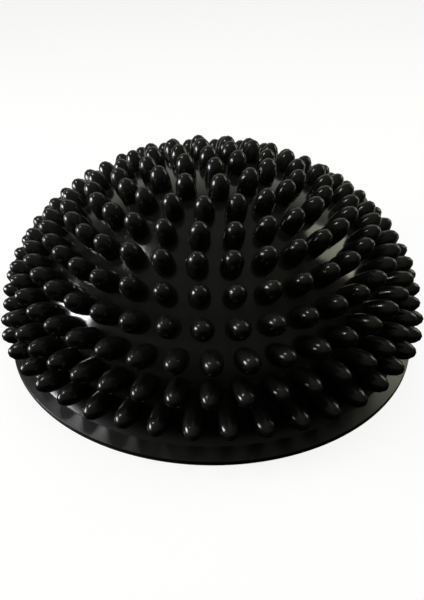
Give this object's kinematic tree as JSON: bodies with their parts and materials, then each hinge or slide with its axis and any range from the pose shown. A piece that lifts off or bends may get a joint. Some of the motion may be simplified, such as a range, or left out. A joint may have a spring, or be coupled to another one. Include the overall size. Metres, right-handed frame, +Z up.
{
  "type": "spiked wobble cushion",
  "caption": "Hollow domed balance pod in soft black plastic, covered in rows of bullet-shaped nubs, with a flat flanged foot and a plugged inflation valve underneath.",
  "frame": {"origin": "centre of the resting face, on the surface that the cushion stands on", "axes": "+Z up through the crown of the dome; -Y is the front; the rows of nubs are counted from the front"},
  "size_m": [0.1652, 0.1651, 0.0732],
  "materials": {
    "dome_pvc": "gloss moulded soft PVC, near black",
    "base_pvc": "satin moulded soft PVC, near black",
    "valve_rubber": "matt black rubber",
    "plug_plastic": "satin dark grey polythene"
  },
  "bodies": {
    "cushion": {"dome_shell": "dome_pvc", "base_disc": "base_pvc", "valve_boss": "base_pvc", "valve_core": "valve_rubber"},
    "plug": {"valve_plug": "plug_plastic"}
  },
  "joints": [
    {"name": "valve_plug_slide", "type": "slide", "parent": "cushion", "child": "plug", "axis": [0, 0, -1], "range_m": [0, 0.012]}
  ]
}
